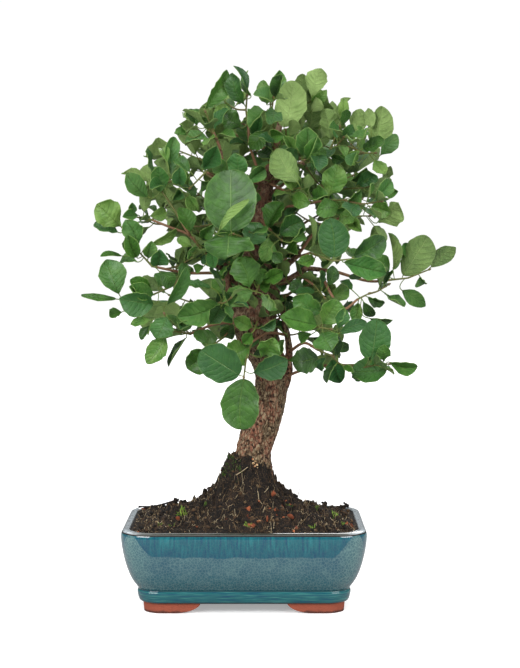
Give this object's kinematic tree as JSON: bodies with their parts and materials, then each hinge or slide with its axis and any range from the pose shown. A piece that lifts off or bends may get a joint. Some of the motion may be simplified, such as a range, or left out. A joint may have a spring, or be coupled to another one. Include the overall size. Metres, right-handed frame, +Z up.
{
  "type": "cork oak bonsai in a pot",
  "caption": "Small cork oak trained as an upright bonsai: furrowed trunk, rounded crown of oval leaves, mounded soil, rectangular blue-green glazed pot on unglazed feet.",
  "frame": {"origin": "on the surface that the pot's feet stand on, under the middle of the whole outline", "axes": "+Z up, the tree's front faces -Y, +X is to the right seen from the front"},
  "size_m": [0.3136, 0.1956, 0.4527],
  "materials": {
    "glaze": "gloss",
    "bare_clay": "matte",
    "soil": "matte",
    "bark": "matte",
    "leaf": "satin",
    "screen": "matte"
  },
  "bodies": {
    "root": {"pot": "glaze", "soil": "soil", "drain_screen_left": "screen", "drain_screen_right": "screen", "trunk": "bark", "spray_left_shoulder": "leaf", "spray_top_left": "leaf", "spray_top_middle": "leaf", "spray_top_pale": "leaf", "spray_top_right": "leaf", "spray_top_front": "leaf", "spray_pale_middle": "leaf", "spray_right_red_branch": "leaf", "spray_right_crown": "leaf", "spray_right_crown_outer": "leaf", "spray_right_middle": "leaf", "spray_right_middle_low": "leaf", "spray_right_hanging": "leaf", "spray_far_right": "leaf", "spray_middle_right": "leaf", "spray_right_low": "leaf", "spray_right_low_inner": "leaf", "spray_cluster_right": "leaf", "spray_middle_right_inner": "leaf", "spray_centre_round": "leaf", "spray_centre_right": "leaf", "spray_left_leader_side": "leaf", "spray_left_upper": "leaf", "spray_left_outer_upper": "leaf", "spray_left_outer_middle": "leaf", "spray_left_outer_low": "leaf", "spray_left_low_outer": "leaf", "spray_left_low": "leaf", "spray_left_middle": "leaf", "spray_left_middle_upper": "leaf", "spray_centre_low": "leaf", "spray_centre_low_left": "leaf", "spray_centre_middle": "leaf", "spray_centre_front": "leaf", "spray_centre_star": "leaf", "spray_back_01": "leaf", "spray_back_02": "leaf", "spray_back_03": "leaf", "spray_back_04": "leaf", "spray_back_05": "leaf", "spray_back_06": "leaf", "spray_back_07": "leaf", "spray_back_08": "leaf", "spray_back_09": "leaf", "spray_back_10": "leaf", "spray_back_11": "leaf", "spray_back_12": "leaf", "spray_back_13": "leaf", "spray_back_14": "leaf", "spray_back_15": "leaf", "spray_back_16": "leaf", "spray_back_17": "leaf", "spray_back_18": "leaf", "spray_back_19": "leaf"}
  },
  "joints": []
}
